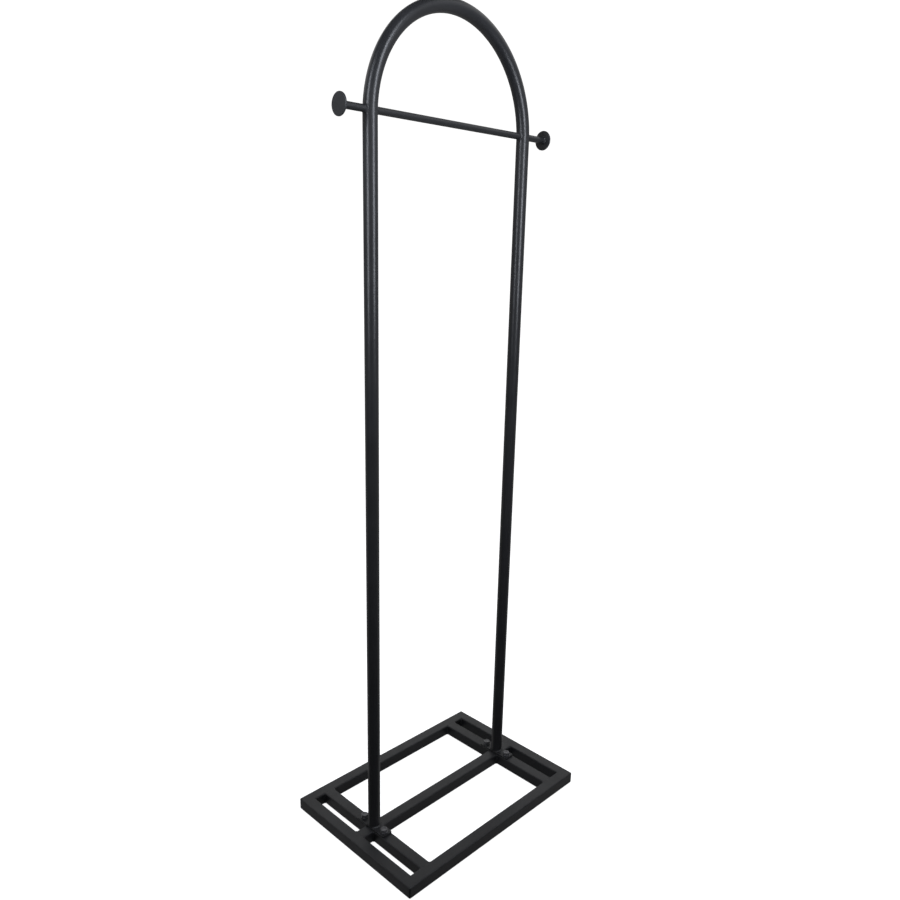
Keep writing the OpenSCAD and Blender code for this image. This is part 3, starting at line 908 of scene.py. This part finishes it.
# Heights in the surround run from 0 straight down through 0.5 level to 1 straight up.
HORIZON = 0.5
FADE = 0.02  # the least height over which one strength turns into the next
SURROUND_EDGE = 0.2  # how softly the half behind the stand meets the half in front
BACK_GROUND, BACK_HORIZON, BACK_WALL, BACK_CEILING = 0.24, 0.19, 0.22, 0.06
BACK_BAND, BACK_BAND_FOOT, BACK_BAND_HEAD = 0.8, 0.66, 0.82  # the pale band behind the stand
FRONT_NADIR, FRONT_GROUND, FRONT_CEILING = 0.02, 0.03, 0.02
FRONT_BAND, FRONT_BAND_FOOT, FRONT_BAND_HEAD = 0.33, 0.51, 0.64


def camera():
    """A camera whose axes are the heading and the tilt, rolled about its own line of sight."""
    sin_h, cos_h = np.sin(CAMERA_HEADING), np.cos(CAMERA_HEADING)
    sin_t, cos_t = np.sin(CAMERA_TILT), np.cos(CAMERA_TILT)
    ahead = np.array([sin_h * cos_t, cos_h * cos_t, sin_t])
    right = np.array([cos_h, -sin_h, 0])
    up = np.cross(right, ahead)
    cos_r, sin_r = np.cos(CAMERA_ROLL), np.sin(CAMERA_ROLL)
    matrix = np.identity(4)
    matrix[:3, 0] = cos_r * right + sin_r * up
    matrix[:3, 1] = cos_r * up - sin_r * right
    matrix[:3, 2] = -ahead
    matrix[:3, 3] = CAMERA_PLACE
    lens = bpy.data.cameras.new("studio_camera")
    lens.lens, lens.sensor_width = CAMERA_LENS, SENSOR_WIDTH
    lens.shift_x, lens.shift_y = CAMERA_SHIFT
    lens.clip_end = 200
    seen = bpy.data.objects.new("studio_camera", lens)
    seen.matrix_world = Matrix(matrix.tolist())
    bpy.context.scene.collection.objects.link(seen)
    bpy.context.scene.camera = seen


def soft_box(name, place, aim, power):
    """An upright rectangular light at a place, facing a point, hidden from the camera itself."""
    place, aim = Vector((*place, SOFT_BOX_HEIGHT)), Vector((*aim, SOFT_BOX_HEIGHT))
    light = bpy.data.lights.new(name, "AREA")
    light.shape, light.size, light.size_y = "RECTANGLE", *SOFT_BOX_SIZE
    light.energy = power
    light.color = SOFT_BOX_COLOUR
    box = bpy.data.objects.new(name, light)
    box.location = place
    box.rotation_euler = (aim - place).to_track_quat("-Z", "Y").to_euler()
    box.visible_camera = False
    bpy.context.scene.collection.objects.link(box)


def stage_piece(name, points, paint):
    """The floor or the backdrop, from one grid of points. Only the camera sees it: it takes no
    shadow, shows in no reflection and lends the stand no light."""
    grid, quads, _ = skin(points, wrap_columns=True)
    mesh = bpy.data.meshes.new(name)
    mesh.from_pydata(grid.tolist(), [], quads[:, ::-1].tolist())
    mesh.materials.append(paint)
    piece = bpy.data.objects.new(name, mesh)
    bpy.context.scene.collection.objects.link(piece)
    piece.visible_glossy = piece.visible_diffuse = piece.visible_transmission = False
    piece.visible_shadow = False


def pale_paint(name, glow):
    """Matt white paint that also glows, so that it comes out pale and even."""
    paint = bpy.data.materials.new(name)
    paint.use_nodes = True
    tree = paint.node_tree
    shader = tree.nodes["Principled BSDF"]
    shade = spread(tree, noise(tree, 1.5, 3), 0.0, 1.0)
    tree.links.new(blend(tree, shade, FLOOR_PALE, FLOOR_SHADE), shader.inputs["Base Color"])
    shader.inputs["Roughness"].default_value = PAINT_ROUGHNESS
    shader.inputs["Emission Color"].default_value = (1, 1, 1, 1)
    shader.inputs["Emission Strength"].default_value = glow
    return paint


def surround(name):
    """A world whose light depends only on its direction: on its height by one ramp behind the
    stand and by another in front, mixed by X + Y, which is 0 on the plane between the halves."""
    back_stops = (
        (0.0, BACK_GROUND), (HORIZON - FADE, BACK_GROUND), (HORIZON, BACK_HORIZON),
        (BACK_BAND_FOOT - 2 * FADE, BACK_WALL), (BACK_BAND_FOOT, BACK_BAND),
        (BACK_BAND_HEAD, BACK_BAND), (BACK_BAND_HEAD + 2.5 * FADE, BACK_CEILING),
    )
    front_stops = (
        (0.0, FRONT_NADIR), (FRONT_BAND_FOOT - FADE, FRONT_GROUND), (FRONT_BAND_FOOT, FRONT_BAND),
        (FRONT_BAND_HEAD, FRONT_BAND), (FRONT_BAND_HEAD + 3 * FADE, FRONT_CEILING),
    )
    world = bpy.data.worlds.new(name)
    world.use_nodes = True
    tree = world.node_tree
    way = node(tree, "ShaderNodeTexCoord").outputs["Generated"]
    parts = node(tree, "ShaderNodeSeparateXYZ", Vector=way).outputs
    height = node(tree, "ShaderNodeMapRange", Value=parts["Z"], From_Min=-1.0).outputs["Result"]
    depth = tree.nodes.new("ShaderNodeMath")
    depth.operation = "ADD"
    tree.links.new(parts["X"], depth.inputs[0])
    tree.links.new(parts["Y"], depth.inputs[1])
    behind = node(tree, "ShaderNodeMapRange", Value=depth.outputs[0], From_Min=-SURROUND_EDGE,
                  From_Max=SURROUND_EDGE).outputs["Result"]
    ramps = []
    for stops in (front_stops, back_stops):
        ramp = node(tree, "ShaderNodeValToRGB", Fac=height)
        elements = ramp.color_ramp.elements
        elements.remove(elements[1])
        for number, (place, strength) in enumerate(stops):
            stop = elements[0] if number == 0 else elements.new(place)
            stop.position = place
            stop.color = (strength, strength, strength, 1)
        ramps.append(ramp.outputs["Color"])
    back = tree.nodes["Background"]
    tree.links.new(blend(tree, behind, *ramps), back.inputs["Strength"])
    back.inputs["Color"].default_value = (1, 1, 1, 1)
    bpy.context.scene.world = world


camera()
rings = FLOOR_RADIUS * np.linspace(0, 1, FLOOR_RINGS + 1) ** 2
floor = turned(rings, 0 * rings, STAGE_COLUMNS)
stage_piece("pale_floor", floor, pale_paint("pale_floor_paint", FLOOR_GLOW))
climb = np.linspace(0, np.pi / 2, DOME_RINGS + 1)
dome = turned(FLOOR_RADIUS * np.cos(climb), FLOOR_RADIUS * np.sin(climb), STAGE_COLUMNS)
stage_piece("pale_backdrop", dome, pale_paint("backdrop_paint", BACKDROP_GLOW))
soft_box("tall_left", LEFT_BOX_PLACE, LEFT_BOX_AIM, LEFT_BOX_POWER)
soft_box("tall_front", FRONT_BOX_PLACE, FRONT_BOX_AIM, FRONT_BOX_POWER)
surround("pale_surround")
bpy.context.scene.view_settings.view_transform = "Standard"
bpy.context.view_layer.update()
